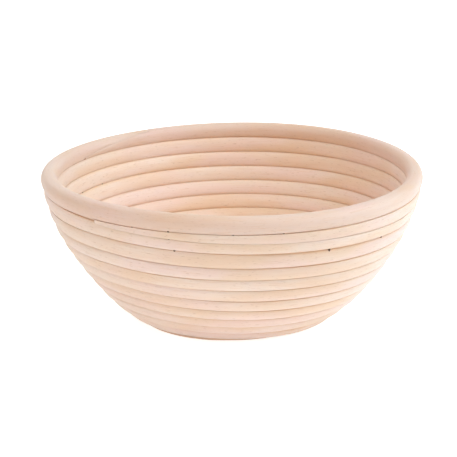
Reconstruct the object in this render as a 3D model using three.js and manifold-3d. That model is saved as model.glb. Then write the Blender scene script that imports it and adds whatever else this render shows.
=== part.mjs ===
// Round proofing basket wound from rattan cane, resting on the underside of its flat base.
// A spiral of cane starts in the middle of the base and climbs the wall, one course on another. It is made
// of three lengths, joined by long slanted scarfs, and its shaved upper end dies out under the rim cane.
// The rim is a thicker cane bent to a ring, its two ends scarfed together. Wire pins hold each course to
// the one below. Millimetres and degrees, +Z up, origin on the resting face under the middle of the base.
// Azimuth 0 is the front (-Y) and grows towards +X.

import * as THREE from 'three';
import { mergeVertices } from 'three/addons/utils/BufferGeometryUtils.js';
import loadManifold from 'manifold-3d';

// Rim and wall
const rimDiameter = 220; // over the outside of the rim cane
const rimCaneDiameter = 9.2;
const wallLength = 97.8; // along the wall, from the edge of the base to the middle of the rim cane
const wallFootAngle = 33.2; // slope of the wall at the base
const wallRimAngle = 79.2; // slope of the wall at the rim
const footBend = 10; // length of the bend between base and wall

// Cane and winding
const caneDiameter = 8.45;
const courseGap = 0.45; // between one course and the next, and across a scarf
const centreRadius = 8; // where the spiral starts, to the middle of the cane
const standFlat = 0.85; // depth of the flat on the underside of the base
const climbSpan = 107; // azimuth in which a course does most of its climb
const climbShare = 0.8; // share of the climb made in that span, on the wall
const climbEaseTurns = 6; // turns round the centre in which the even spiral changes to that climb
const endAzimuth = -43.5; // upper end of the spiral, under the rim

// Shaved upper end, and the flattened course below it
const endThickness = 2.6;
const flattening = 2.3;
const flatFullAzimuth = 20; // fully flattened from the end to here
const flatGoneAzimuth = 100; // round again from here
const flatLeadOut = 30; // azimuth past the end in which the course below becomes round

// Scarf joints of the cane lengths
const upperLengthTurns = 5;
const lowerLengthTurns = 5;
const jointAzimuth = 210;
const rimSeamAzimuth = -150;
const scarfSteps = 2;
const scarfTip = 1.2; // thickness of a scarf's blunt tip

// Pins
const pinDiameter = 1.4;
const pinClearance = 0.3;
const pinSink = 1.6; // top of a pin below the top of its course
const pinGrip = 5.7; // depth of a pin in the cane below, or of a rim pin in the rim
const pinOffset = 1.1; // from the middle of the cane, towards the outside or the inside
const shownPinOffset = 2.3; // likewise, of the pins that show in a groove
const pinPointLength = 1.6;
const pinsPerTurn = 3;
const firstPin = 30; // azimuth from the upper end to the first pin
const pinStagger = 47; // azimuth from the pins of one course to those of the next
const unpinnedTurns = 3; // innermost turns, held by their own bend
const frontPins = [[1, -17.5], [1, 29.9], [1, 52.3]]; // turns below the upper end, azimuth
const innerPins = [[1, 234.5], [1, 247.7]]; // likewise, on the inside of the wall
const rimPins = [-160, -30, -18.6, 0, 14.5, 95, 145]; // azimuths
const innerRimPins = [-112.3];

// Facets
const stepsPerTurn = 24;
const caneSides = 6;
const pinSides = 5;
const profileStep = 0.1;

const caneRadius = caneDiameter / 2;
const rimCaneRadius = rimCaneDiameter / 2;
const rimRadius = rimDiameter / 2 - rimCaneRadius;
const pitch = caneDiameter + courseGap;
const baseHeight = caneRadius - standFlat;
const stepAngle = 360 / stepsPerTurn;
const climbTurns = climbSpan / 360;
const rimUnderside = wallLength - rimCaneRadius;

const wasm = await loadManifold();
wasm.setup();

const clamp01 = (value) => Math.min(1, Math.max(0, value));

// Profile of the basket: distance along the wall, zero at the edge of the base, to a place and a slope
function wallAngle(along) {
  const straight = wallFootAngle + (wallRimAngle - wallFootAngle) * along / wallLength;
  return THREE.MathUtils.degToRad(straight * THREE.MathUtils.smoothstep(along, -footBend / 2, footBend / 2));
}

const profile = [{ r: 0, z: baseHeight }];
const profileCount = Math.ceil((wallLength + footBend / 2) / profileStep);
const profileSpacing = (wallLength + footBend / 2) / profileCount;
for (let i = 0; i < profileCount; i++) {
  const angle = wallAngle((i + 0.5) * profileSpacing - footBend / 2);
  const last = profile[i];
  const r = last.r + Math.cos(angle) * profileSpacing;
  const z = last.z + Math.sin(angle) * profileSpacing;
  profile.push({ r, z });
}
const footRadius = rimRadius - profile[profileCount].r; // where the flat base ends

function profileAt(along) {
  const past = along + footBend / 2;
  if (past <= 0) {
    return { r: footRadius + past, z: baseHeight, angle: 0 };
  }
  const place = past / profileSpacing;
  const i = Math.min(Math.floor(place), profileCount - 1);
  const part = place - i;
  const r = footRadius + THREE.MathUtils.lerp(profile[i].r, profile[i + 1].r, part);
  const z = THREE.MathUtils.lerp(profile[i].z, profile[i + 1].z, part);
  return { r, z, angle: wallAngle(along) };
}

// The winding: turns below the upper end to a distance along the profile
const endAlong = rimUnderside - courseGap - endThickness + flattening + caneRadius;

function riseAt(turnsUp, share) {
  const whole = Math.floor(turnsUp);
  const part = turnsUp - whole;
  return whole + (1 - share) * part + share * Math.min(1, part / climbTurns);
}

const spiralTurns = (endAlong + footBend / 2 + footRadius - centreRadius) / pitch;

function alongAt(turns) {
  const share = climbShare * clamp01((spiralTurns - turns) / climbEaseTurns);
  const endRise = riseAt(climbTurns, climbShare);
  return endAlong - pitch * (endRise - riseAt(climbTurns - turns, share));
}

// How deep the top of a course is flattened: in the turn under the shaved end, and a little past it
function flatDepthAt(turns) {
  if (turns < 1) {
    return flattening * clamp01(1 - (1 - turns) * 360 / flatLeadOut);
  }
  const azimuth = endAzimuth + (turns - 1) * 360;
  return flattening * clamp01((flatGoneAzimuth - azimuth) / (flatGoneAzimuth - flatFullAzimuth));
}

// One section of the spiral: its middle, slope, and how far it reaches down and up the wall from there
function courseAt(turns) {
  const sunk = turns < 1 ? flatDepthAt(turns + 1) : 0;
  const along = alongAt(turns) - sunk;
  const roomBelowRim = rimUnderside - courseGap - along;
  const high = Math.min(caneRadius - flatDepthAt(turns), roomBelowRim);
  return { ...profileAt(along), low: -caneRadius, high };
}

// Corners of a cane's section, cut off below low and above high, as places along and across the wall.
// Uncut, it is a regular polygon with a corner towards each neighbouring course.
function sectionCorners(radius, low, high) {
  const corners = [];
  const half = caneSides / 2;
  const levels = Array.from({ length: half + 1 }, (_, i) => radius * Math.cos(Math.PI * i / half));
  const widths = levels.map((level) => Math.sqrt(Math.max(0, radius ** 2 - level ** 2)));
  const highest = levels.findIndex((level) => level <= high); // first corner left whole, from the top
  const lowest = levels.findLastIndex((level) => level >= low); // last corner left whole
  const halfWidth = (level) => {
    const i = Math.min(half - 1, levels.findLastIndex((each) => each >= level));
    return THREE.MathUtils.mapLinear(level, levels[i], levels[i + 1], widths[i], widths[i + 1]);
  };
  for (let i = 0; i < caneSides; i++) {
    const fromTop = Math.min(i, caneSides - i);
    const side = Math.sign(half - i) * Math.sign(i);
    const along = THREE.MathUtils.clamp(levels[fromTop], low, high);
    let across = halfWidth(along);
    if (fromTop < highest) {
      across *= fromTop / Math.max(1, highest - 1);
    } else if (fromTop > lowest) {
      across *= (half - fromTop) / Math.max(1, half - lowest - 1);
    }
    corners.push({ along, across: across * side });
  }
  return corners;
}

// A ring of corners at an azimuth: in its own upright plane, and in space
function ringAt(azimuth, spot, radius) {
  const turn = THREE.MathUtils.degToRad(azimuth);
  const flat = sectionCorners(radius, spot.low, spot.high).map(({ along, across }) => new THREE.Vector2(
    spot.r + along * Math.cos(spot.angle) + across * Math.sin(spot.angle),
    spot.z + along * Math.sin(spot.angle) - across * Math.cos(spot.angle),
  ));
  for (const point of flat) {
    point.y = Math.max(0, point.y); // the flat underside of the base
  }
  const corners = flat.map((p) => new THREE.Vector3(p.x * Math.sin(turn), -p.x * Math.cos(turn), p.y));
  return { flat, corners };
}

// Closed tube through a row of rings
function tubeGeometry(rings) {
  const points = rings.flatMap((ring) => ring.corners);
  const triangles = [];
  for (let i = 0; i + 1 < rings.length; i++) {
    for (let j = 0; j < caneSides; j++) {
      const a = i * caneSides + j;
      const b = i * caneSides + (j + 1) % caneSides;
      triangles.push(a, b, a + caneSides, b, b + caneSides, a + caneSides);
    }
  }
  for (const [first, flip] of [[0, true], [(rings.length - 1) * caneSides, false]]) {
    const middle = new THREE.Vector3();
    for (let j = 0; j < caneSides; j++) {
      middle.addScaledVector(points[first + j], 1 / caneSides);
    }
    const centre = points.push(middle) - 1;
    for (let j = 0; j < caneSides; j++) {
      const a = first + j;
      const b = first + (j + 1) % caneSides;
      triangles.push(centre, flip ? b : a, flip ? a : b);
    }
  }
  const geometry = new THREE.BufferGeometry().setFromPoints(points);
  geometry.setIndex(triangles);
  return geometry;
}

// Least distance between two outlines that lie in one upright plane, measured from the points of each
function outlineGap(one, other) {
  let least = Infinity;
  const nearest = new THREE.Vector2();
  const measure = (points, outline) => {
    for (const point of points) {
      outline.forEach((start, i) => {
        const side = outline[(i + 1) % outline.length].clone().sub(start);
        const part = clamp01(point.clone().sub(start).dot(side) / side.lengthSq());
        nearest.copy(start).addScaledVector(side, part);
        least = Math.min(least, nearest.distanceTo(point));
      });
    }
  };
  measure(one, other);
  measure(other, one);
  return least;
}

function printLeastGap(name, rings) {
  let least = Infinity;
  for (let i = 0; i + stepsPerTurn < rings.length; i++) {
    least = Math.min(least, outlineGap(rings[i].flat, rings[i + stepsPerTurn].flat));
  }
  console.log(`${name}: least gap to itself ${least.toFixed(2)} mm`);
}

// Slanted plane of a scarf, from 0 at its lower cane's side to 1, as a level in a cane's section
function scarfLevel(part, radius) {
  return THREE.MathUtils.lerp(scarfTip - radius, radius - scarfTip, part);
}

// A length of the spiral between two steps counted down from the upper end
function spiralRings(firstStep, lastStep, scarfedTop, scarfedFoot) {
  const rings = [];
  for (let step = firstStep; step <= lastStep; step++) {
    const spot = courseAt(step / stepsPerTurn);
    if (scarfedTop && step <= firstStep + scarfSteps) {
      spot.high = scarfLevel((step - firstStep) / scarfSteps, caneRadius) - courseGap / 2;
    }
    if (scarfedFoot && step >= lastStep - scarfSteps) {
      spot.low = scarfLevel((step - lastStep + scarfSteps) / scarfSteps, caneRadius) + courseGap / 2;
    }
    rings.push(ringAt(endAzimuth + step * stepAngle, spot, caneRadius));
  }
  return rings;
}

function rimRings() {
  const rings = [];
  const lastStep = stepsPerTurn + scarfSteps;
  for (let step = 0; step <= lastStep; step++) {
    const spot = { ...profileAt(wallLength), low: -rimCaneRadius, high: rimCaneRadius };
    if (step <= scarfSteps) {
      spot.low = scarfLevel(1 - step / scarfSteps, rimCaneRadius) + courseGap / 2;
    }
    if (step >= stepsPerTurn) {
      spot.high = scarfLevel(1 - (step - stepsPerTurn) / scarfSteps, rimCaneRadius) - courseGap / 2;
    }
    rings.push(ringAt(rimSeamAzimuth + step * stepAngle, spot, rimCaneRadius));
  }
  return rings;
}

// Solids for cutting
function toSolid(geometry) {
  const bare = geometry.clone();
  bare.deleteAttribute('normal');
  bare.deleteAttribute('uv');
  const merged = mergeVertices(bare);
  const vertProperties = new Float32Array(merged.attributes.position.array);
  const triVerts = new Uint32Array(merged.index.array);
  return new wasm.Manifold(new wasm.Mesh({ numProp: 3, vertProperties, triVerts }));
}

function toGeometry(solid) {
  const mesh = solid.getMesh();
  const geometry = new THREE.BufferGeometry();
  geometry.setAttribute('position', new THREE.BufferAttribute(new Float32Array(mesh.vertProperties), 3));
  geometry.setIndex(new THREE.BufferAttribute(new Uint32Array(mesh.triVerts), 1));
  return geometry;
}

// Middle of a faceted course, or of the rim, between two steps, and the level of its top there
function facetedSpot(azimuth, spotAtStep) {
  const place = (azimuth - endAzimuth) / stepAngle;
  const step = Math.floor(place);
  const part = place - step;
  const ends = [step, step + 1].map((each) => {
    const spot = spotAtStep(each);
    const turn = THREE.MathUtils.degToRad(endAzimuth + each * stepAngle);
    const middle = new THREE.Vector3(spot.r * Math.sin(turn), -spot.r * Math.cos(turn), spot.z);
    return { middle, high: spot.high };
  });
  const middle = ends[0].middle.clone().lerp(ends[1].middle, part);
  return { middle, high: THREE.MathUtils.lerp(ends[0].high, ends[1].high, part) };
}

function courseSpot(azimuth, turn) {
  return facetedSpot(azimuth + turn * 360, (step) => courseAt(step / stepsPerTurn));
}

function rimSpot(azimuth) {
  return facetedSpot(azimuth, () => ({ ...profileAt(wallLength), high: rimCaneRadius }));
}

// Where a pin runs: from a place in the upper cane to one in the cane below, outwards of their middles
function pinRun(azimuth, upper, lower, topLevel, offset) {
  const up = upper.middle.clone().sub(lower.middle).normalize();
  const turn = THREE.MathUtils.degToRad(azimuth);
  const around = new THREE.Vector3(Math.cos(turn), Math.sin(turn), 0);
  const shift = around.cross(up).normalize().multiplyScalar(offset);
  const top = upper.middle.clone().addScaledVector(up, topLevel).add(shift);
  const foot = lower.middle.clone().addScaledVector(up, lower.high - pinGrip).add(shift);
  return { top, foot, up };
}

function coursePinRun(turn, azimuth, offset) {
  const upper = courseSpot(azimuth, turn);
  const lower = courseSpot(azimuth, turn + 1);
  return pinRun(azimuth, upper, lower, upper.high - pinSink, offset);
}

function rimPinRun(azimuth, offset) {
  const wrapped = azimuth < endAzimuth ? azimuth + 360 : azimuth;
  return pinRun(azimuth, rimSpot(azimuth), courseSpot(wrapped, 0), pinGrip - rimCaneRadius, offset);
}

function pinGeometry(radius, length, pointLength) {
  const outline = [
    new THREE.Vector2(0, -length / 2),
    new THREE.Vector2(radius, pointLength - length / 2),
    new THREE.Vector2(radius, length / 2),
    new THREE.Vector2(0, length / 2),
  ];
  return new THREE.LatheGeometry(outline, pinSides);
}

function placePin(object, { top, foot, up }) {
  object.position.copy(top).add(foot).multiplyScalar(0.5);
  object.quaternion.setFromUnitVectors(new THREE.Vector3(0, 1, 0), up);
  object.updateMatrix();
}

function pinHole(run, openTop) {
  const top = run.top.clone().addScaledVector(run.up, openTop);
  const foot = run.foot.clone().addScaledVector(run.up, -pinClearance);
  const radius = pinDiameter / 2 + pinClearance;
  const geometry = new THREE.CylinderGeometry(radius, radius, top.distanceTo(foot), pinSides);
  const placed = new THREE.Object3D();
  placePin(placed, { top, foot, up: run.up });
  return toSolid(geometry.applyMatrix4(placed.matrix));
}

// Pins of the courses, staggered from turn to turn, and those that show in a groove
const pinned = [];
const pinHoles = [];
function addPin(name, run, openTop) {
  pinned.push({ name, run });
  pinHoles.push(pinHole(run, openTop));
}

const coursePinOpening = pinSink + courseGap / 2; // up to the gap above the course
const pinnedTurns = Math.floor(spiralTurns) - unpinnedTurns;
for (let turn = 0; turn < pinnedTurns; turn++) {
  for (let i = 0; i < pinsPerTurn; i++) {
    const azimuth = endAzimuth + (firstPin + turn * pinStagger + i * 360 / pinsPerTurn) % 360;
    const offset = (turn + i) % 2 === 0 ? pinOffset : -pinOffset;
    addPin(`course_pin_${turn + 1}_${i + 1}`, coursePinRun(turn, azimuth, offset), coursePinOpening);
  }
}
frontPins.forEach(([turn, azimuth], i) => {
  addPin(`front_pin_${i + 1}`, coursePinRun(turn, azimuth, shownPinOffset), coursePinOpening);
});
innerPins.forEach(([turn, azimuth], i) => {
  addPin(`inner_pin_${i + 1}`, coursePinRun(turn, azimuth, -shownPinOffset), coursePinOpening);
});
rimPins.forEach((azimuth, i) => {
  addPin(`rim_pin_${i + 1}`, rimPinRun(azimuth, shownPinOffset), pinClearance);
});
innerRimPins.forEach((azimuth, i) => {
  addPin(`inner_rim_pin_${i + 1}`, rimPinRun(azimuth, -shownPinOffset), pinClearance);
});
const holes = pinHoles.reduce((joined, hole) => joined.add(hole));

// Canes
const stepOf = (turns) => Math.round((turns + (jointAzimuth - endAzimuth) / 360) * stepsPerTurn);
const upperJoint = stepOf(upperLengthTurns);
const lowerJoint = stepOf(upperLengthTurns + lowerLengthTurns);
const innermostStep = Math.floor(spiralTurns * stepsPerTurn);
const canes = [
  ['rim_cane', rimRings(), 0xf0dac6],
  ['upper_wall_cane', spiralRings(0, upperJoint + scarfSteps, false, true), 0xecd3bd],
  ['lower_wall_cane', spiralRings(upperJoint, lowerJoint + scarfSteps, true, true), 0xe9cfb8],
  ['base_cane', spiralRings(lowerJoint, innermostStep, true, false), 0xe6cab2],
];

const basket = new THREE.Group();
basket.name = 'proofing_basket';
for (const [name, rings, color] of canes) {
  printLeastGap(name, rings);
  const solid = toSolid(tubeGeometry(rings)).subtract(holes);
  const material = new THREE.MeshStandardMaterial({ color, roughness: 0.6, metalness: 0 });
  const mesh = new THREE.Mesh(toGeometry(solid), material);
  mesh.name = name;
  basket.add(mesh);
}

const pinMaterial = new THREE.MeshStandardMaterial({ color: 0x6f6259, roughness: 0.45, metalness: 0.9 });
for (const { name, run } of pinned) {
  const length = run.top.distanceTo(run.foot);
  const mesh = new THREE.Mesh(pinGeometry(pinDiameter / 2, length, pinPointLength), pinMaterial);
  mesh.name = name;
  placePin(mesh, run);
  basket.add(mesh);
}

export default basket;
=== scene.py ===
import math

import bpy
import numpy as np
from mathutils import Matrix, Vector


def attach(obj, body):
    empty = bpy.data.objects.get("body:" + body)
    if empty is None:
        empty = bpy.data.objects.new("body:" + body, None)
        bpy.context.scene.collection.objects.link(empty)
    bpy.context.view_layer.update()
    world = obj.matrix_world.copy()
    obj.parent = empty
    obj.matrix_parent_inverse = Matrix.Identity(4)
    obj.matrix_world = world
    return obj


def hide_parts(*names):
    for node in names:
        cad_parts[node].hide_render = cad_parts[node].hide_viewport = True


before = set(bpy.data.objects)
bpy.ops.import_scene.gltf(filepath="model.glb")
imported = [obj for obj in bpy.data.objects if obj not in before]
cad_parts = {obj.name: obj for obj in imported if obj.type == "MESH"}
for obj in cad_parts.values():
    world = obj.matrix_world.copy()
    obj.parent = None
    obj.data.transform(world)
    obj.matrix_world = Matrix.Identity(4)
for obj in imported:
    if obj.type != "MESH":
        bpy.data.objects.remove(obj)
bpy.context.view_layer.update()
print("frame loaded:", len(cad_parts), "CAD nodes")

mm = 0.001
smoothAngle = math.radians(40)      # edges sharper than this stay sharp
white = (1, 1, 1, 1)

# Bowl: the CAD solids' own, but a little out of true. Angles are in degrees; azimuth 0 is the front (-Y)
# and grows towards +X.
bowl = {
    "rimRadius": 105.4 * mm,    # to the middle of the rim cane
    "wallLength": 98.49 * mm,   # along the wall, from the edge of the base to the middle of the rim
    "pastRim": 5 * mm,          # the profile is carried on this far
    "profilePoints": 2001,
    "footAngle": 33.44,         # slope of the wall at the base
    "rimAngle": 79.17,          # slope of the wall at the rim
    "footBend": 10 * mm,        # length of the bend between base and wall
    "baseHeight": 3.375 * mm,   # middle of the cane in the base
    "lean": 0.99 * mm,          # base off to the right under the rim, as it was wound by hand
    "leanPower": 0.7,           # how it goes down the wall: 1 is evenly
    "sideSwell": 0.71 * mm,     # the sides stand out under the rim and in below that
    "swellFrom": 0.66,          # share of the wall where the one turns to the other
    "swellOver": 0.76,          # share of the wall that in and out take together
    "swellEase": 0.25,          # share of the wall, from the base up, in which it sets in
}

# Winding: one spiral from the middle of the base to the rim. Turns are counted down from its upper end.
winding = {
    "pitch": 8.9 * mm,          # from one course to the next
    "centreRadius": 8 * mm,     # where the spiral starts
    "endAzimuth": -43.5,        # upper end of the spiral, under the rim
    "endAlong": 97.365 * mm,    # middle of the cane there, before it was shaved
    "climbSpan": 107,           # azimuth in which a course does most of its climb
    "climbShare": 0.8,
    "climbEaseTurns": 6,        # turns round the centre that still climb evenly
    "ringsPerTurn": 150,
    "scarfSpan": 30,            # azimuth that a scarf joint takes
    "scarfTip": 1.2 * mm,
    "contact": 0.03 * mm,       # hairline across a scarf
    "press": 0.04 * mm,         # courses press into each other by this
    "frontRise": 2.5 * mm,      # the courses stand higher in front than evenly wound
    "riseGrowth": 0.16 * mm,    # more of that with every turn down
    "riseGrowsFrom": 2,         # turns down
    "riseGrowsFor": 7,
    "sideShare": 0.2,           # of that rise, at the two sides
    "backDrop": 0.3 * mm,       # and a little lower at the back
    "dropGrowth": 0.2 * mm,     # likewise
    "dropGrowsFrom": 1.5,
    "dropGrowsFor": 6,
    "sideRise": 0.8 * mm,       # up at the back right, down at the back left
    "riseGone": 13,             # turns down where the base is level again
    "riseFade": 3,              # turns in which it gets there
    "flatterBy": 0.35,          # share by which the courses are pressed flatter at the left front
    "flatterAzimuth": -35,
    "flatterFocus": 4,          # the more, the closer it keeps to that azimuth
}


# Profile of the bowl: distance along the wall to radius, height and slope
def wallSlope(along):
    bend = np.clip(along / bowl["footBend"] + 0.5, 0, 1)
    straight = bowl["footAngle"] + (bowl["rimAngle"] - bowl["footAngle"]) * along / bowl["wallLength"]
    return np.radians(straight) * bend * bend * (3 - 2 * bend)


profileEnd = bowl["wallLength"] + bowl["pastRim"]
profileAlong = np.linspace(-bowl["footBend"] / 2, profileEnd, bowl["profilePoints"])
profileStep = profileAlong[1] - profileAlong[0]
middleSlope = wallSlope(profileAlong[:-1] + profileStep / 2)
profileRadius = np.concatenate([[0], np.cumsum(np.cos(middleSlope)) * profileStep])
profileHeight = np.concatenate([[0], np.cumsum(np.sin(middleSlope)) * profileStep]) + bowl["baseHeight"]
footRadius = bowl["rimRadius"] - np.interp(bowl["wallLength"], profileAlong, profileRadius)
profileRadius += footRadius


def profileAt(along):
    onBase = np.minimum(along - profileAlong[0], 0)
    radius = np.interp(along, profileAlong, profileRadius) + onBase
    height = np.interp(along, profileAlong, profileHeight)
    return radius, height, wallSlope(along)


# Turns down the spiral to a distance along the profile
spiralAlong = winding["endAlong"] + bowl["footBend"] / 2 + footRadius - winding["centreRadius"]
spiralTurns = spiralAlong / winding["pitch"]
climbTurns = winding["climbSpan"] / 360


def riseAt(turnsUp, share):
    whole = np.floor(turnsUp)
    part = turnsUp - whole
    return whole + (1 - share) * part + share * np.minimum(1, part / climbTurns)


def alongAt(turns):
    share = winding["climbShare"] * np.clip((spiralTurns - turns) / winding["climbEaseTurns"], 0, 1)
    endRise = riseAt(climbTurns, winding["climbShare"])
    return winding["endAlong"] - winding["pitch"] * (endRise - riseAt(climbTurns - turns, share))


def azimuthAt(turns):
    return np.radians(winding["endAzimuth"] + turns * 360)


# Small unevenness of hand winding, nearly alike in neighbouring courses: outwards, and up the wall.
# A wave has its depth, its number in a turn, its drift from turn to turn and its start.
handWork = {
    "outWaves": ((0.2 * mm, 2, 0.9, 1.0), (0.1 * mm, 5, -0.7, 0)),
    "upWaves": ((0.1 * mm, 3, 0.35, 2.0),),
    "dip": 1.5 * mm,            # some courses sag in front
    "dipTurns": 3.2,            # turns down to the deepest of them
    "dipSpread": 1.3,
    "dipFocus": 4,
    "evenTurns": 1.3,           # turns at the upper end without ups and downs
    "easeTurns": 0.6,           # turns in which they set in
}


def handWaves(waves, azimuth, turns):
    return sum(
        depth * np.sin(count * azimuth + drift * turns + start)
        for depth, count, drift, start in waves
    )


def handOutwards(azimuth, turns):
    return handWaves(handWork["outWaves"], azimuth, turns)


def handUpwards(azimuth, turns):
    ease = np.clip((turns - handWork["evenTurns"]) / handWork["easeTurns"], 0, 1)
    sag = np.exp(-((turns - handWork["dipTurns"]) / handWork["dipSpread"]) ** 2)
    dip = -handWork["dip"] * sag * np.cos(azimuth / 2) ** handWork["dipFocus"]
    return ease * (dip + handWaves(handWork["upWaves"], azimuth, turns))


# How far the wall stands outwards at its sides, and how far to the right, by the share of its length
def sideSwell(share, azimuth):
    wave = np.sin((share - bowl["swellFrom"]) / bowl["swellOver"] * 2 * math.pi)
    return bowl["sideSwell"] * wave * np.clip(share / bowl["swellEase"], 0, 1) * np.sin(azimuth) ** 2


def leanAt(share):
    return bowl["lean"] * np.clip(1 - share, 0, 1) ** bowl["leanPower"]


# How much fuller than elsewhere a cane is before it is pressed flat
def fullerAt(azimuth):
    facing = np.clip(np.cos(azimuth - math.radians(winding["flatterAzimuth"])), 0, 1)
    return 1 + winding["flatterBy"] * facing ** winding["flatterFocus"]


# How much higher than evenly wound a course stands
def courseRise(azimuth, turns):
    behind = np.sin(azimuth / 2) ** 2
    riseTurns = np.clip(turns - winding["riseGrowsFrom"], 0, winding["riseGrowsFor"])
    dropTurns = np.clip(turns - winding["dropGrowsFrom"], 0, winding["dropGrowsFor"])
    front = winding["frontRise"] + winding["riseGrowth"] * riseTurns
    back = winding["backDrop"] + winding["dropGrowth"] * dropTurns
    rise = front * (1 - behind + winding["sideShare"] * np.sin(azimuth) ** 2) - back * behind
    rise = rise + winding["sideRise"] * np.sin(azimuth) * behind
    return rise * np.clip((winding["riseGone"] - turns) / winding["riseFade"], 0, 1)


# Rim cane. It isn't quite level: lower on the right, twisted so that front left and back right rise, and
# higher in front than at the sides and the back.
rim = {
    "radius": 4.72 * mm,        # outwards and inwards
    "half": 4.6 * mm,           # upwards
    "foot": 4.25 * mm,          # downwards, where it is pressed on the course below
    "sides": 32,
    "topFullness": 1,
    "footFullness": 1.42,       # height of its lower half before it is pressed flat, over its width
    "tilt": 0.6 * mm,
    "twist": 0.8 * mm,
    "frontRise": 0.55 * mm,
    "saddle": 0.25 * mm,
    "seamAzimuth": -150,
    "jointAbove": 0,            # its upper side is free
    "slot": "rim_rattan_cane",
}


def rimAlong(azimuth):
    level = bowl["wallLength"] - rim["tilt"] * np.sin(azimuth) - rim["twist"] * np.sin(2 * azimuth)
    return level + rim["frontRise"] * np.cos(azimuth) + rim["saddle"] * np.cos(2 * azimuth)


# Lengths of cane in the spiral
caneLengths = {
    "radius": 4.66 * mm,
    "sides": 28,
    "topFullness": 1.42,        # height of each half before it is pressed flat, over its width
    "footFullness": 1.42,
    "upperJointTurns": 5.7042,  # joints at the back left, five turns apart
    "lowerJointTurns": 10.7042,
    "endFlattening": 1.5 * mm,  # of the course under the shaved end, at the tip
    "flattening": 2.5 * mm,     # and further along
    "flatGrowth": 33,           # azimuth in which it grows
    "flatFullAzimuth": 55,
    "flatGoneAzimuth": 100,
    "stretched": {1: 0.35, 2: 0.15},    # share of the room under the rim that these courses take up
    "stretchFrom": 0.45,        # turns along each of them
    "stretchGrowth": 0.55,
    "stretchGone": 1.3,
    "stretchFade": 0.3,
    "notchGap": 1.2 * mm,       # under the rim, just past the shaved end
    "notchFade": 23,            # azimuth in which that gap closes
    "notchLength": 0.0023,      # turns
    "notchRings": 5,
    "tongueLength": 0.058,      # turns: a thin shaved tongue fills the gap
    "tongueWidth": 0.7,         # of the cane's width
    "jointAbove": 1,            # a course lies on its upper side
    "slot": "rattan_cane",
}


# How deep the course below the shaved end is flattened
def flatDepthAt(turns):
    cane = caneLengths
    azimuth = winding["endAzimuth"] + (turns - 1) * 360
    span = cane["flatGoneAzimuth"] - cane["flatFullAzimuth"]
    grown = np.clip((turns - 1) * 360 / cane["flatGrowth"], 0, 1)
    depth = cane["endFlattening"] + (cane["flattening"] - cane["endFlattening"]) * grown
    return np.where(turns >= 1, depth * np.clip((cane["flatGoneAzimuth"] - azimuth) / span, 0, 1), 0)


# Past the shaved end the courses below stretch a little to close up with the rim
def stretchAt(turns):
    cane = caneLengths
    room = bowl["wallLength"] - rim["foot"] - winding["pitch"] / 2 - alongAt(np.array(1.0))
    stretch = np.zeros_like(turns)
    for course, share in cane["stretched"].items():
        part = turns - course
        growing = np.clip((part - cane["stretchFrom"]) / cane["stretchGrowth"], 0, 1)
        fading = np.clip((cane["stretchGone"] - part) / cane["stretchFade"], 0, 1)
        stretch = stretch + share * room * np.where(part < 1, growing, fading)
    return stretch


# Upper joint of a course, where it meets the course above or the rim
def upperJointAt(turns):
    azimuth = azimuthAt(turns)
    underRim = rimAlong(azimuth) - rim["foot"]
    pastEnd = 1 - turns
    gap = caneLengths["notchGap"] * np.clip(1 - pastEnd * 360 / caneLengths["notchFade"], 0, 1)
    wound = alongAt(turns) + winding["pitch"] / 2 + handUpwards(azimuth, turns) + courseRise(azimuth, turns)
    wound = wound + stretchAt(turns) - flatDepthAt(turns)
    notch = np.clip(1 - pastEnd / caneLengths["notchLength"], 0, 1)
    return np.where(pastEnd > 0, underRim - gap + (wound - underRim + gap) * notch, wound)


# Lower joint of a course: the innermost course has none below it
def lowerJointAt(turns):
    return np.where(turns + 1 < spiralTurns, upperJointAt(turns + 1), alongAt(turns) - winding["pitch"] / 2)


# Section of a cane that fills the room between two joints: a circle, pressed flat where the room is less
section = {
    "squareness": 20,           # how sharply the round side turns into the pressed one
    "mostOnCut": 75,            # degrees of its points to each side that lie on a scarf's cut
    "leastCut": 1e-6,           # keeps a division safe where nothing is cut
}


def pressed(cosine, fullness):
    squareness = section["squareness"]

    def soft(value):
        return value / (1 + np.abs(value) ** squareness) ** (1 / squareness)
    return soft(cosine * fullness) / soft(fullness)


def unpressed(share, fullness):
    squareness = section["squareness"]
    value = np.clip(share, -1, 1) * fullness / (1 + fullness ** squareness) ** (1 / squareness)
    return np.clip(value / (1 - np.abs(value) ** squareness) ** (1 / squareness) / fullness, -1, 1)


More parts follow.
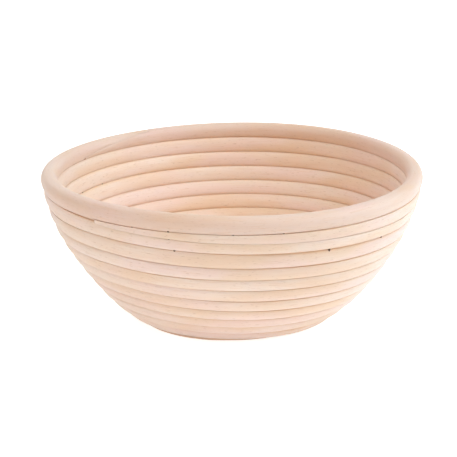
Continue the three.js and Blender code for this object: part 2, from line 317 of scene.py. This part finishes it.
# Places across and along the wall of a section's points, by their angle (0 faces the course above,
# 90 degrees faces outwards). top and foot are the heights of its halves, and fuller says how much more than
# elsewhere they are pressed. What lies above high or below low is cut off, and width is its share of the
# cane's width.
def caneSection(angle, cane, fuller, width, top, foot, low, high):
    radius = cane["radius"] * width
    fullTop = cane["radius"] * cane["topFullness"] / top * fuller ** cane["jointAbove"]
    fullFoot = cane["radius"] * cane["footFullness"] / foot * fuller

    def cutAbove(angle, top, foot, fullTop, fullFoot, limit):
        upwards = np.arccos(unpressed(limit / top, fullTop))
        downwards = math.pi - np.arccos(unpressed(-limit / foot, fullFoot))
        cutAngle = np.where(limit >= 0, upwards, downwards)
        kept = np.minimum(cutAngle, math.radians(section["mostOnCut"]))
        onArc = cutAngle + (math.pi - cutAngle) * (np.abs(angle) - kept) / (math.pi - kept)
        onCut = np.abs(angle) < kept
        share = np.sin(np.abs(angle)) / np.maximum(np.sin(kept), section["leastCut"])
        across = np.where(onCut, radius * np.sin(cutAngle) * share, radius * np.sin(onArc))
        half = np.where(np.cos(onArc) >= 0, top, foot)
        full = np.where(np.cos(onArc) >= 0, fullTop, fullFoot)
        level = np.where(onCut, limit, half * pressed(np.cos(onArc), full))
        return across * np.sign(angle), level

    upperAcross, upperLevel = cutAbove(angle, top, foot, fullTop, fullFoot, high)
    mirrored = np.where(angle >= 0, math.pi - angle, -math.pi - angle)
    lowerAcross, lowerLevel = cutAbove(mirrored, foot, top, fullFoot, fullTop, -low)
    isLow = low > -foot
    return np.where(isLow, lowerAcross, upperAcross), np.where(isLow, -lowerLevel, upperLevel)


# A straight cane as it comes off the bundle: a circle extruded one step, repeated and capped
straight = {"step": 5 * mm, "merge": 0.05 * mm}


def straightCane(name, radius, sides, steps):
    bpy.ops.object.select_all(action="DESELECT")
    bpy.ops.mesh.primitive_circle_add(vertices=sides, radius=radius)
    piece = bpy.context.object
    piece.name = name
    piece.data.name = name
    bpy.ops.object.mode_set(mode="EDIT")
    bpy.ops.mesh.select_all(action="SELECT")
    bpy.ops.mesh.extrude_region_move(TRANSFORM_OT_translate={"value": (0, 0, straight["step"])})
    bpy.ops.object.mode_set(mode="OBJECT")
    bpy.ops.object.modifier_add(type="ARRAY")
    repeat = piece.modifiers[-1]
    repeat.count = steps
    repeat.use_relative_offset = False
    repeat.use_constant_offset = True
    repeat.constant_offset_displace = (0, 0, straight["step"])
    repeat.use_merge_vertices = True
    repeat.merge_threshold = straight["merge"]
    bpy.ops.object.modifier_apply(modifier=repeat.name)
    bpy.ops.object.mode_set(mode="EDIT")
    bpy.ops.mesh.select_all(action="SELECT")
    bpy.ops.mesh.fill_holes(sides=0)
    bpy.ops.object.mode_set(mode="OBJECT")
    return piece


# Winds a straight cane: each of its rings goes to its place on the bowl, upright in the plane of its azimuth.
# middle is its place along the wall, top and foot are its heights above and below that, low and high the
# cuts of its scarfs.
def windCane(piece, cane, azimuth, turns, width, middle, top, foot, low, high):
    points = np.array([v.co for v in piece.data.vertices])
    ring = np.rint(points[:, 2] / straight["step"]).astype(int)
    angle = np.arctan2(points[:, 0], points[:, 1])
    rooms = (values[ring] for values in (fullerAt(azimuth), width, top, foot, low, high))
    across, level = caneSection(angle, cane, *rooms)
    # how near a point lies to the joint with the next course: the mask of the painted shade in the joints;
    # the rim's free upper side gets none
    depth = np.where(level < 0, 1, cane["jointAbove"]) * (1 - np.abs(across) / cane["radius"])
    r, z, slope = (values[ring] for values in profileAt(middle))
    share = middle[ring] / bowl["wallLength"]
    r = r + sideSwell(share, azimuth[ring])
    across = across + handOutwards(azimuth, turns)[ring]
    distance = r + level * np.cos(slope) + across * np.sin(slope)
    height = np.maximum(0, z + level * np.sin(slope) - across * np.cos(slope))
    x = distance * np.sin(azimuth[ring]) + leanAt(share)
    y = -distance * np.cos(azimuth[ring])
    wound = np.stack([x, y, height], 1)

    # The straight cane's own coordinates stay with it, so that the grain follows the cane
    middleRadius = profileAt(middle)[0]
    ringSteps = np.abs(np.diff(azimuth)) * (middleRadius[1:] + middleRadius[:-1]) / 2
    length = np.concatenate([[0], np.cumsum(ringSteps)])
    grain = np.stack([points[:, 0], points[:, 1], length[ring]], 1)
    piece.data.vertices.foreach_set("co", wound.astype(np.float32).ravel())
    caneGrain = piece.data.attributes.new("caneGrain", "FLOAT_VECTOR", "POINT")
    caneGrain.data.foreach_set("vector", grain.astype(np.float32).ravel())
    inGroove = piece.data.attributes.new("inGroove", "FLOAT", "POINT")
    inGroove.data.foreach_set("value", depth.astype(np.float32))
    endGrain = piece.data.attributes.new("endGrain", "FLOAT", "FACE")
    cutFaces = [float(len(face.vertices) > 4) for face in piece.data.polygons]  # the two ends
    endGrain.data.foreach_set("value", cutFaces)
    piece.data.update()
    bpy.ops.object.mode_set(mode="EDIT")
    bpy.ops.mesh.select_all(action="SELECT")
    bpy.ops.mesh.normals_make_consistent(inside=False)
    bpy.ops.object.mode_set(mode="OBJECT")
    bpy.ops.object.shade_smooth_by_angle(angle=smoothAngle)


# Level of a scarf's slanted cut, from its lower cane's side to its upper one's
scarfTurns = winding["scarfSpan"] / 360


def scarf(part, top, foot):
    return part * (top - winding["scarfTip"]) - (1 - part) * (foot - winding["scarfTip"])


def spiralCane(name, firstTurns, lastTurns, scarfedTop, scarfedFoot):
    if scarfedFoot:
        lastTurns += scarfTurns
    count = round((lastTurns - firstTurns) * winding["ringsPerTurn"])
    turns = np.linspace(firstTurns, lastTurns, count + 1)
    # closer rings at the shaved end, and at its notch in the course below
    notch = caneLengths["notchLength"]
    for end in (0, 1):
        if firstTurns < end < lastTurns:
            closer = end - notch * np.linspace(0, 1, caneLengths["notchRings"])
            turns = np.unique(np.concatenate([turns, closer]))
    width = 1 - (1 - caneLengths["tongueWidth"]) * np.clip(-turns / notch, 0, 1)
    upper = upperJointAt(turns) + winding["press"] / 2
    lower = lowerJointAt(turns) - winding["press"] / 2
    middle = (upper + flatDepthAt(turns) + lower) / 2
    top, foot = upper - middle, middle - lower
    low, high = -foot, top
    if scarfedTop:
        part = np.clip((turns - firstTurns) / scarfTurns, 0, 1)
        high = np.where(part < 1, scarf(part, top, foot) - winding["contact"] / 2, high)
    if scarfedFoot:
        part = np.clip((turns - lastTurns + scarfTurns) / scarfTurns, 0, 1)
        low = np.where(part > 0, scarf(part, top, foot) + winding["contact"] / 2, low)
    piece = straightCane(name, caneLengths["radius"], caneLengths["sides"], len(turns) - 1)
    windCane(piece, caneLengths, azimuthAt(turns), turns, width, middle, top, foot, low, high)
    print(name, "wound:", len(piece.data.vertices), "vertices")
    return piece


upperJoint, lowerJoint = caneLengths["upperJointTurns"], caneLengths["lowerJointTurns"]
upperWall = spiralCane("upperWallCane", -caneLengths["tongueLength"], upperJoint, False, True)
lowerWall = spiralCane("lowerWallCane", upperJoint, lowerJoint, True, True)
base = spiralCane("baseCane", lowerJoint, spiralTurns, True, False)


def rimRing(name):
    turns = np.linspace(0, 1 + scarfTurns, round((1 + scarfTurns) * winding["ringsPerTurn"]) + 1)
    azimuth = np.radians(rim["seamAzimuth"] + turns * 360)
    half = np.full_like(turns, rim["half"])
    foot = np.full_like(turns, rim["foot"])
    starting = 1 - turns / scarfTurns
    ending = 1 - (turns - 1) / scarfTurns
    low = np.where(starting > 0, scarf(starting, half, foot) + winding["contact"] / 2, -foot)
    high = np.where(ending < 1, scarf(ending, half, foot) - winding["contact"] / 2, half)
    piece = straightCane(name, rim["radius"], rim["sides"], len(turns) - 1)
    noTurns, width = np.zeros_like(turns), np.ones_like(turns)
    windCane(piece, rim, azimuth, noTurns, width, rimAlong(azimuth), half, foot, low, high)
    print(name, "bent to a ring:", len(piece.data.vertices), "vertices")
    return piece


rimCane = rimRing("rimCane")

for piece, node, slot in (
    (upperWall, "upper_wall_cane", caneLengths["slot"]),
    (lowerWall, "lower_wall_cane", caneLengths["slot"]),
    (base, "base_cane", caneLengths["slot"]),
    (rimCane, "rim_cane", rim["slot"]),
):
    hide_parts(node)
    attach(piece, "root")


# Pins: lengths of wire cut square at the top and pointed at the foot, one to each CAD pin and along its axis
pinWire = {
    "radius": 0.7 * mm,
    "sides": 12,
    "shank": 8 * mm,            # of the first one, which the others are copied from
    "pointLength": 1.6 * mm,
    "pointShare": 0.12,         # blunt end of the point
    "topBevel": 0.2 * mm,
    "bevelSteps": 2,
    "endFacing": 0.9,           # a face that looks up or down at least this much is an end
    "cadEnd": 0.1 * mm,         # corners of a CAD pin this near to its end belong to it
    "cadDigits": 7,             # digits of a metre to which two of its corners are one
    "shownOut": {               # outwards, by kind or by name, so that their specks show in the grooves
        "front": 1.0 * mm,
        "rim": 1.2 * mm,
        "inner": 0.2 * mm,
        "front_pin_1": 1.3 * mm,
        "rim_pin_2": 0.8 * mm,
        "rim_pin_3": 1.6 * mm,
    },
    "flatterOut": 1.3 * mm,     # more of that where the courses are pressed flatter, times the share
    "flatterKinds": ("front", "rim"),
    "slot": "pin_wire",
}


def cutWire(name):
    bpy.ops.object.select_all(action="DESELECT")
    bpy.ops.mesh.primitive_cylinder_add(
        vertices=pinWire["sides"], radius=pinWire["radius"], depth=pinWire["shank"])
    wire = bpy.context.object
    wire.name = name
    wire.data.name = name
    for edge, face in (("foot", -1), ("top", 1)):
        bpy.ops.object.mode_set(mode="EDIT")
        bpy.ops.mesh.select_mode(type="FACE")
        bpy.ops.mesh.select_all(action="DESELECT")
        bpy.ops.object.mode_set(mode="OBJECT")
        for polygon in wire.data.polygons:
            polygon.select = polygon.normal.z * face > pinWire["endFacing"]
        bpy.ops.object.mode_set(mode="EDIT")
        if edge == "foot":
            down = (0, 0, -pinWire["pointLength"])
            bpy.ops.mesh.extrude_region_move(TRANSFORM_OT_translate={"value": down})
            bpy.ops.transform.resize(value=(pinWire["pointShare"], pinWire["pointShare"], 1))
        else:
            bpy.ops.mesh.bevel(offset=pinWire["topBevel"], segments=pinWire["bevelSteps"], affect="EDGES")
        bpy.ops.object.mode_set(mode="OBJECT")
    bpy.ops.object.shade_smooth_by_angle(angle=smoothAngle)
    return wire


# The CAD pin's pointed foot is a single corner; its square top is a ring of them
def pinEnds(node):
    points = np.array([node.matrix_world @ v.co for v in node.data.vertices])
    points = np.unique(np.round(points, pinWire["cadDigits"]), axis=0)
    middle = points.mean(0)
    axis = np.linalg.svd(points - middle)[2][0]
    places = (points - middle) @ axis
    if np.sum(places > places.max() - pinWire["cadEnd"]) == 1:
        places = -places
    ring = points[places > places.max() - pinWire["cadEnd"]]
    return Vector(points[np.argmin(places)]), Vector(ring.mean(0))


# A pin goes with the wall, which is wound a little out of true
def pinShift(name, foot, top):
    kind = name.split("_")[0]
    share = np.interp((foot.z + top.z) / 2, profileHeight, profileAlong) / bowl["wallLength"]
    azimuth = math.atan2(foot.x, -foot.y)
    shownOut = pinWire["shownOut"]
    outwards = sideSwell(share, azimuth) + shownOut.get(name, shownOut.get(kind, 0))
    if kind in pinWire["flatterKinds"]:
        outwards += pinWire["flatterOut"] * (fullerAt(azimuth) - 1)
    return Vector((foot.x, foot.y, 0)).normalized() * float(outwards) + Vector((float(leanAt(share)), 0, 0))


def setPin(wire, name, foot, top):
    pin = wire.copy()
    pin.data = wire.data.copy()
    words = name.split("_")
    pin.name = words[0] + "".join(word.capitalize() for word in words[1:])
    pin.data.name = pin.name
    bpy.context.collection.objects.link(pin)
    # from the middle of its shank up a wire is as long as its pin needs
    longer = (top - foot).length - pinWire["pointLength"] - pinWire["shank"]
    for vertex in pin.data.vertices:
        if vertex.co.z > 0:
            vertex.co.z += longer
        vertex.co.z += pinWire["shank"] / 2 + pinWire["pointLength"]
    turned = Vector((0, 0, 1)).rotation_difference(top - foot).to_matrix().to_4x4()
    pin.data.transform(Matrix.Translation(foot) @ turned)
    return pin


firstWire = cutWire("firstWire")
pins = []
for name in sorted(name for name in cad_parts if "_pin_" in name):
    foot, top = pinEnds(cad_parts[name])
    shift = pinShift(name, foot, top)
    pin = setPin(firstWire, name, foot + shift, top + shift)
    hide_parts(name)
    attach(pin, "root")
    pins.append(pin)
bpy.data.objects.remove(firstWire)
print("pins:", len(pins))


# Materials: sRGB hex colours to linear ones
def linear(colour):
    channels = [int(colour[i:i + 2], 16) / 255 for i in (1, 3, 5)]
    return [c / 12.92 if c <= 0.04045 else ((c + 0.055) / 1.055) ** 2.4 for c in channels] + [1]


def addNode(tree, kind, settings=None, values=None, links=None):
    node = tree.nodes.new(kind)
    for name, value in (settings or {}).items():
        setattr(node, name, value)
    for socket, value in (values or {}).items():
        node.inputs[socket].default_value = value
    for socket, source in (links or {}).items():
        tree.links.new(source, node.inputs[socket])
    return node


def newMaterial(name):
    material = bpy.data.materials.new(name)
    material.use_nodes = True
    tree = material.node_tree
    return material, tree, tree.nodes["Principled BSDF"]


# Peeled rattan: pale cream wood with long soft patches of straw and pink, fine fibres and short dark pores
# along the cane, a painted warm shade in the joints between the courses, and open pores where the cane is cut
# across.
# A layer's streaks have their size across and along the cane; it sets in where they pass low and is at its
# full share where they reach high.
wallLook = {
    "pale": "#F5DFCE",
    "straw": {"colour": "#F1D4BA", "across": 9 * mm, "along": 70 * mm, "detail": 2,
              "low": 0.37, "high": 0.63, "share": 1},
    "pink": {"colour": "#F4D9CF", "across": 12 * mm, "along": 60 * mm, "detail": 1,
             "low": 0.45, "high": 0.65, "share": 0.6},
    "fibre": {"colour": "#E6C2A4", "across": 0.45 * mm, "along": 14 * mm, "detail": 2,
              "low": 0.5, "high": 0.75, "share": 0.35},
    "pore": {"colour": "#B58A63", "across": 0.28 * mm, "along": 2.6 * mm, "detail": 0,
             "low": 0.72, "high": 0.8, "share": 0.3},
    # painted shade: a warmer, darker tone in the joints between the courses
    "groove": {"colour": "#E0A766", "low": 0.12, "high": 0.27, "share": 0.22},
    "endPore": {"colour": "#B58A63", "across": 0.35 * mm, "along": 0.35 * mm, "detail": 1,
                "low": 0.45, "high": 0.6, "share": 0.8},
    "bump": 0.35, "bumpDepth": 0.05 * mm,
    "roughness": 0.55, "ior": 1.45, "sheen": 0.2, "sheenRoughness": 0.5,
    "glow": 0.4, "glowDepth": 1.5 * mm, "glowRadius": (1, 0.8, 0.6),
}
rimLook = dict(
    wallLook,
    pale="#ECD2C1",
    straw=dict(wallLook["straw"], colour="#E9C9B0"),
    pink=dict(wallLook["pink"], colour="#EDCFC4"),
    fibre=dict(wallLook["fibre"], share=0.45),
)


def rattanCore(name, look):
    material, tree, shader = newMaterial(name)
    grain = addNode(tree, "ShaderNodeAttribute", {"attribute_name": "caneGrain"}).outputs["Vector"]
    inGroove = addNode(tree, "ShaderNodeAttribute", {"attribute_name": "inGroove"}).outputs["Fac"]
    endGrain = addNode(tree, "ShaderNodeAttribute", {"attribute_name": "endGrain"}).outputs["Fac"]

    def streaks(layer):
        across, along = layer["across"], layer["along"]
        drawn = addNode(tree, "ShaderNodeMapping", values={"Scale": (1 / across, 1 / across, 1 / along)},
                        links={"Vector": grain})
        noise = addNode(tree, "ShaderNodeTexNoise", values={"Scale": 1, "Detail": layer["detail"]},
                        links={"Vector": drawn.outputs["Vector"]})
        return noise.outputs["Fac"]

    # Lays a layer's colour over the ground, or over the pale wood, by its pattern
    def lay(ground, layer, pattern, where=None):
        ranged = addNode(tree, "ShaderNodeMapRange", {"interpolation_type": "SMOOTHSTEP"},
                         {"From Min": layer["low"], "From Max": layer["high"], "To Max": layer["share"]},
                         {"Value": pattern})
        factor = ranged.outputs["Result"]
        if where is not None:
            there = addNode(tree, "ShaderNodeMath", {"operation": "MULTIPLY"}, links={0: where, 1: factor})
            factor = there.outputs[0]
        laid = addNode(tree, "ShaderNodeMix", {"data_type": "RGBA"},
                       {"A": linear(look["pale"]), "B": linear(layer["colour"])}, {"Factor": factor})
        if ground is not None:
            tree.links.new(ground, laid.inputs["A"])
        return laid.outputs["Result"]

    colour = lay(None, look["straw"], streaks(look["straw"]))
    colour = lay(colour, look["pink"], streaks(look["pink"]))
    fibres = streaks(look["fibre"])
    colour = lay(colour, look["fibre"], fibres)
    colour = lay(colour, look["pore"], streaks(look["pore"]))
    # painted shade laid in the joints between the courses
    colour = lay(colour, look["groove"], inGroove)
    colour = lay(colour, look["endPore"], streaks(look["endPore"]), endGrain)
    tree.links.new(colour, shader.inputs["Base Color"])
    bump = addNode(tree, "ShaderNodeBump", values={"Strength": look["bump"], "Distance": look["bumpDepth"]},
                   links={"Height": fibres})
    tree.links.new(bump.outputs["Normal"], shader.inputs["Normal"])
    for socket, value in (
        ("Roughness", "roughness"),
        ("IOR", "ior"),
        ("Sheen Weight", "sheen"),
        ("Sheen Roughness", "sheenRoughness"),
        ("Subsurface Weight", "glow"),
        ("Subsurface Radius", "glowRadius"),
        ("Subsurface Scale", "glowDepth"),
    ):
        shader.inputs[socket].default_value = look[value]
    return material


wallRattan = rattanCore("rattanCore", wallLook)
rimRattan = rattanCore("rimRattanCore", rimLook)
for piece in (upperWall, lowerWall, base):
    piece.data.materials.append(wallRattan)
rimCane.data.materials.append(rimRattan)

# Steel wire gone dull and brown: darker and lighter stains, and a soft shine
wireLook = {
    "stain": "#4A3326", "bare": "#76583F", "stainSize": 1.2 * mm, "stainDetail": 2,
    "roughness": 0.6, "metallic": 0.4,
}
pinSteel, pinTree, pinShader = newMaterial("dulledSteelWire")
pinPlace = addNode(pinTree, "ShaderNodeTexCoord").outputs["Object"]
stains = addNode(pinTree, "ShaderNodeTexNoise",
                 values={"Scale": 1 / wireLook["stainSize"], "Detail": wireLook["stainDetail"]},
                 links={"Vector": pinPlace})
stained = addNode(pinTree, "ShaderNodeMix", {"data_type": "RGBA"},
                  {"A": linear(wireLook["stain"]), "B": linear(wireLook["bare"])},
                  {"Factor": stains.outputs["Fac"]})
pinTree.links.new(stained.outputs["Result"], pinShader.inputs["Base Color"])
pinShader.inputs["Metallic"].default_value = wireLook["metallic"]
pinShader.inputs["Roughness"].default_value = wireLook["roughness"]
for pin in pins:
    pin.data.materials.append(pinSteel)
print("materials made")

# Floor
floorPlane = {
    "size": 12.0,
    "colour": "#F4F4F4",
    "roughness": 0.9,
    "seenGlow": 0.72,           # lifts the floor to white for the eye
    "bounceGlow": 0.27,         # light that it throws up at the basket
}
bpy.ops.object.select_all(action="DESELECT")
bpy.ops.mesh.primitive_plane_add(size=floorPlane["size"], location=(0, 0, 0))
floor = bpy.context.object
floor.name = "floor"
floorMaterial, floorTree, floorShader = newMaterial("paleFloor")
floorShader.inputs["Base Color"].default_value = linear(floorPlane["colour"])
floorShader.inputs["Roughness"].default_value = floorPlane["roughness"]
floor.data.materials.append(floorMaterial)


# Rays that see the white surroundings, by eye or in a reflection
def seenRays(tree):
    rays = addNode(tree, "ShaderNodeLightPath")
    either = addNode(tree, "ShaderNodeMath", {"operation": "MAXIMUM"},
                     links={0: rays.outputs["Is Camera Ray"], 1: rays.outputs["Is Glossy Ray"]})
    seen = addNode(tree, "ShaderNodeMath", {"operation": "MAXIMUM"},
                   links={0: either.outputs[0], 1: rays.outputs["Is Transmission Ray"]})
    return seen.outputs[0]


glow = addNode(floorTree, "ShaderNodeMapRange",
               values={"To Min": floorPlane["bounceGlow"], "To Max": floorPlane["seenGlow"]},
               links={"Value": seenRays(floorTree)})
floorTree.links.new(glow.outputs["Result"], floorShader.inputs["Emission Strength"])
floorShader.inputs["Emission Color"].default_value = white

# Large soft lamps round the basket, most of the light from the right
studio = {
    "aim": 45 * mm,             # height of the middle of the bowl
    "distance": 1.5,
    "worldColour": "#FFFFFF", "worldStrength": 0.27,
    "lamps": {
        "rightLight": {"azimuth": 95, "elevation": 24, "size": 0.8, "power": 7.4, "colour": "#CEEAFF"},
        "keyLight": {"azimuth": 75, "elevation": 45, "size": 1.2, "power": 8.8, "colour": "#F4FAFF"},
        "topLight": {"azimuth": -25, "elevation": 68, "size": 1.2, "power": 8.8, "colour": "#FFF9EE"},
        "leftLight": {"azimuth": -55, "elevation": 20, "size": 0.8, "power": 1.6, "colour": "#FFE6EA"},
        "frontLight": {"azimuth": 0, "elevation": 12, "size": 0.8, "power": 0.4, "colour": "#FFDFDA"},
        "backLight": {"azimuth": -160, "elevation": 30, "size": 1.2, "power": 2.6, "colour": "#FFFFFF"},
    },
}
world = bpy.data.worlds.new("studioWorld")
bpy.context.scene.world = world
world.use_nodes = True
worldTree = world.node_tree
ambient = worldTree.nodes["Background"]
ambient.inputs["Color"].default_value = linear(studio["worldColour"])
ambient.inputs["Strength"].default_value = studio["worldStrength"]
backdrop = addNode(worldTree, "ShaderNodeBackground", values={"Color": white, "Strength": 1})
worldMix = addNode(worldTree, "ShaderNodeMixShader",
                   links={0: seenRays(worldTree), 1: ambient.outputs[0], 2: backdrop.outputs[0]})
worldTree.links.new(worldMix.outputs[0], worldTree.nodes["World Output"].inputs["Surface"])

for name, lamp in studio["lamps"].items():
    azimuth, elevation = math.radians(lamp["azimuth"]), math.radians(lamp["elevation"])
    outwards = Vector((math.sin(azimuth), -math.cos(azimuth), 0)) * math.cos(elevation)
    towards = outwards + Vector((0, 0, math.sin(elevation)))
    place = Vector((0, 0, studio["aim"])) + towards * studio["distance"]
    bpy.ops.object.light_add(type="AREA", location=place)
    light = bpy.context.object
    light.name = name
    light.data.size = lamp["size"]
    light.data.energy = lamp["power"]
    light.data.color = linear(lamp["colour"])[:3]
    light.rotation_euler = towards.to_track_quat("Z", "Y").to_euler()

# Camera, where the photograph was taken from
photoCamera = {
    "lens": 175.83,
    "sensor": 36,
    "distance": 1300 * mm,
    "elevation": 16.686,
    "target": (-2.245 * mm, 0, 50.25 * mm),
    "roll": 0.642,
}
bpy.ops.object.camera_add()
camera = bpy.context.object
camera.data.sensor_fit = "HORIZONTAL"
camera.data.sensor_width = photoCamera["sensor"]
camera.data.lens = photoCamera["lens"]
elevation, roll = math.radians(photoCamera["elevation"]), math.radians(photoCamera["roll"])
backwards = Vector((0, -math.cos(elevation), math.sin(elevation)))
upright = Vector((0, math.sin(elevation), math.cos(elevation)))
sideways = Vector((1, 0, 0))
cameraX = sideways * math.cos(roll) - upright * math.sin(roll)
cameraY = sideways * math.sin(roll) + upright * math.cos(roll)
place = Vector(photoCamera["target"]) + backwards * photoCamera["distance"]
turned = Matrix((cameraX, cameraY, backwards)).transposed().to_4x4()
camera.matrix_world = Matrix.Translation(place) @ turned
bpy.context.scene.camera = camera
bpy.context.scene.view_settings.view_transform = "Standard"
print("floor, light and camera set")
